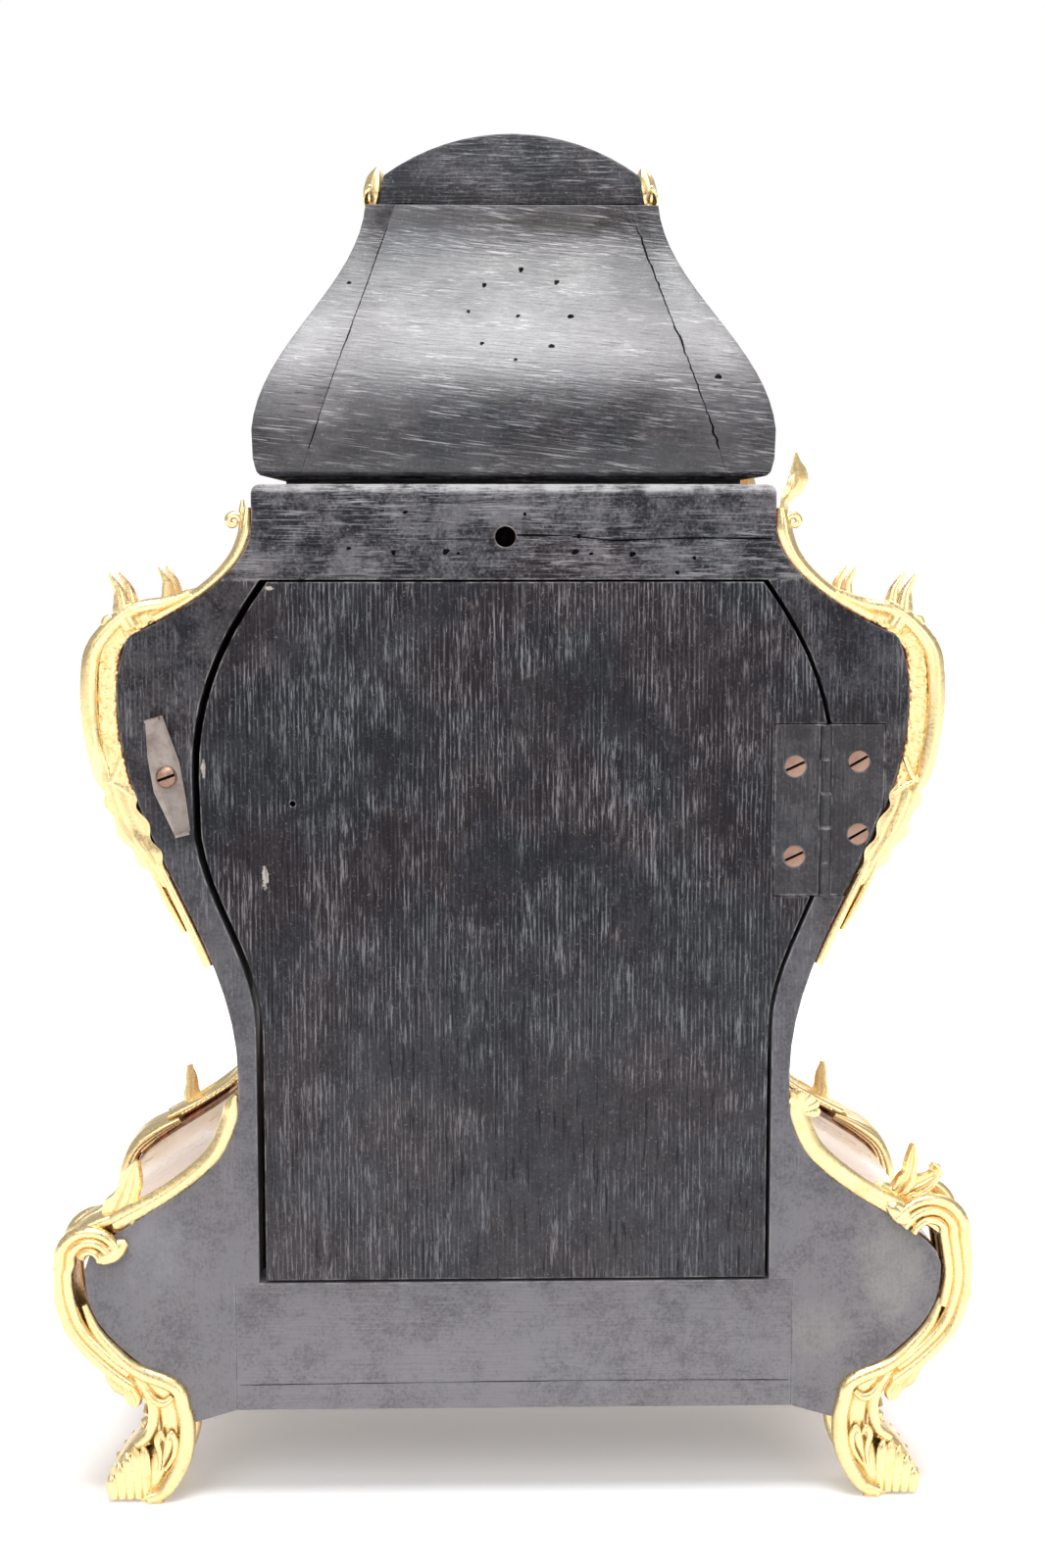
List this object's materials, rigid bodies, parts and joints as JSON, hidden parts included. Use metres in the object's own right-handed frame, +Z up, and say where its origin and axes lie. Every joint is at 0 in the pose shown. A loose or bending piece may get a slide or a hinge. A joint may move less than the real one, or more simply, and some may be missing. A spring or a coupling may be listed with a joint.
{
  "type": "mantel clock",
  "caption": "Waisted wooden mantel clock with ogee roof, hinged back and glazed front doors, gilt corner mounts and feet, and a pendulum movement.",
  "frame": {"origin": "on the table under the middle of the clock's outer box", "axes": "+Z up, -Y the way the dial faces, +Y the way the back door faces, +X to the right of someone who reads the dial"},
  "size_m": [0.3192, 0.1624, 0.4757],
  "materials": {
    "black_painted_wood": "worn black paint on oak",
    "inner_wood": "bare",
    "gilt_bronze": "gilt, cast and chased",
    "brass_work": "brushed",
    "steel_work": "aged",
    "glass": "clear",
    "enamel": "glossy",
    "bell_metal": "turned",
    "screw_metal": "worn",
    "blued_steel": "blued"
  },
  "bodies": {
    "case": {"stile_left": "black_painted_wood", "stile_right": "black_painted_wood", "back_top_rail": "black_painted_wood", "back_bottom_rail": "black_painted_wood", "side_left": "black_painted_wood", "side_right": "black_painted_wood", "front_frame": "black_painted_wood", "apron": "black_painted_wood", "base_board": "inner_wood", "top_board": "inner_wood", "dial_board": "inner_wood", "roof_neck": "black_painted_wood", "roof": "black_painted_wood", "crest": "black_painted_wood", "hinge_case_leaf": "steel_work", "hinge_pin": "steel_work", "hinge_screws_case": "screw_metal", "turn_button_screw": "steel_work", "front_hinge_case": "brass_work", "dial_plate": "gilt_bronze", "dial_plaques": "enamel", "front_plate": "brass_work", "back_plate": "brass_work", "pillars": "brass_work", "movement_straps": "steel_work", "suspension_cock": "brass_work", "bell": "bell_metal", "bell_stand": "steel_work", "crest_mounts": "gilt_bronze", "apron_mount": "gilt_bronze", "upper_mount_left": "gilt_bronze", "upper_mount_right": "gilt_bronze", "front_upper_mount_left": "gilt_bronze", "front_upper_mount_right": "gilt_bronze", "foot_mount_left": "gilt_bronze", "foot_mount_right": "gilt_bronze", "front_foot_left": "gilt_bronze", "front_foot_right": "gilt_bronze"},
    "door": {"back_door": "black_painted_wood", "hinge_door_leaf": "steel_work", "hinge_screws_door": "screw_metal"},
    "button": {"turn_button": "steel_work"},
    "glazed_door": {"front_door": "brass_work", "front_glass": "glass", "front_hinge_door": "brass_work"},
    "centre": {"centre_wheel": "brass_work", "minute_hand": "blued_steel"},
    "hour": {"hour_wheel": "brass_work", "hour_hand": "blued_steel"},
    "motion": {"minute_wheel": "brass_work"},
    "going": {"going_barrel": "brass_work"},
    "third": {"third_wheel": "brass_work"},
    "escape": {"escape_wheel": "brass_work"},
    "strike": {"strike_barrel": "brass_work"},
    "going_wind": {"going_arbor": "steel_work"},
    "strike_wind": {"strike_arbor": "steel_work"},
    "swinging": {"pendulum": "steel_work", "pendulum_bob": "brass_work"},
    "pallets": {"anchor": "steel_work"},
    "striker": {"hammer": "steel_work"}
  },
  "joints": [
    {"name": "back_door_hinge", "type": "hinge", "parent": "case", "child": "door", "pos_m": [-0.106, 0.0772, 0.2148], "axis": [0, 0, 1], "range_deg": [0, 110]},
    {"name": "turn_button_pivot", "type": "hinge", "parent": "case", "child": "button", "pos_m": [0.1174, 0.0772, 0.2562], "axis": [0, 1, 0], "range_deg": [-14, 62]},
    {"name": "front_door_hinge", "type": "hinge", "parent": "case", "child": "glazed_door", "pos_m": [0.0972, -0.068, 0.2293], "axis": [0, 0, 1], "range_deg": [0, 110]},
    {"name": "minute_turn", "type": "hinge", "parent": "case", "child": "centre", "pos_m": [0, 0, 0.245], "axis": [0, 1, 0], "continuous": true},
    {"name": "hour_turn", "type": "hinge", "parent": "case", "child": "hour", "pos_m": [0, 0, 0.245], "axis": [0, 1, 0], "continuous": true},
    {"name": "motion_turn", "type": "hinge", "parent": "case", "child": "motion", "pos_m": [0, 0, 0.2594], "axis": [0, 1, 0], "continuous": true},
    {"name": "going_turn", "type": "hinge", "parent": "case", "child": "going", "pos_m": [0.024, 0, 0.23263], "axis": [0, 1, 0], "continuous": true},
    {"name": "third_turn", "type": "hinge", "parent": "case", "child": "third", "pos_m": [-0.00522, 0, 0.26244], "axis": [0, 1, 0], "continuous": true},
    {"name": "escape_turn", "type": "hinge", "parent": "case", "child": "escape", "pos_m": [0, 0, 0.277], "axis": [0, 1, 0], "continuous": true},
    {"name": "strike_turn", "type": "hinge", "parent": "case", "child": "strike", "pos_m": [-0.024, 0, 0.23263], "axis": [0, 1, 0], "continuous": true},
    {"name": "going_wind_turn", "type": "hinge", "parent": "case", "child": "going_wind", "pos_m": [0.024, 0, 0.23263], "axis": [0, 1, 0], "continuous": true},
    {"name": "strike_wind_turn", "type": "hinge", "parent": "case", "child": "strike_wind", "pos_m": [-0.024, 0, 0.23263], "axis": [0, 1, 0], "continuous": true},
    {"name": "pendulum_swing", "type": "hinge", "parent": "case", "child": "swinging", "pos_m": [0, 0, 0.2911], "axis": [0, 1, 0], "range_deg": [-4, 4]},
    {"name": "anchor_swing", "type": "hinge", "parent": "case", "child": "pallets", "pos_m": [0, 0, 0.2911], "axis": [0, 1, 0], "range_deg": [-4, 4]},
    {"name": "hammer_lift", "type": "hinge", "parent": "case", "child": "striker", "pos_m": [-0.03, 0, 0.212], "axis": [0, 1, 0], "range_deg": [-14, 0], "stiffness_Nm_per_rad": 0.01, "springref_deg": 11.46}
  ],
  "couplings": [
    {"joint": "hour_turn", "follows": "minute_turn", "ratio": 0.083333},
    {"joint": "motion_turn", "follows": "minute_turn", "ratio": -0.33333},
    {"joint": "going_turn", "follows": "minute_turn", "ratio": -0.125},
    {"joint": "third_turn", "follows": "minute_turn", "ratio": -12},
    {"joint": "escape_turn", "follows": "minute_turn", "ratio": 144},
    {"joint": "anchor_swing", "follows": "pendulum_swing", "ratio": 1}
  ]
}
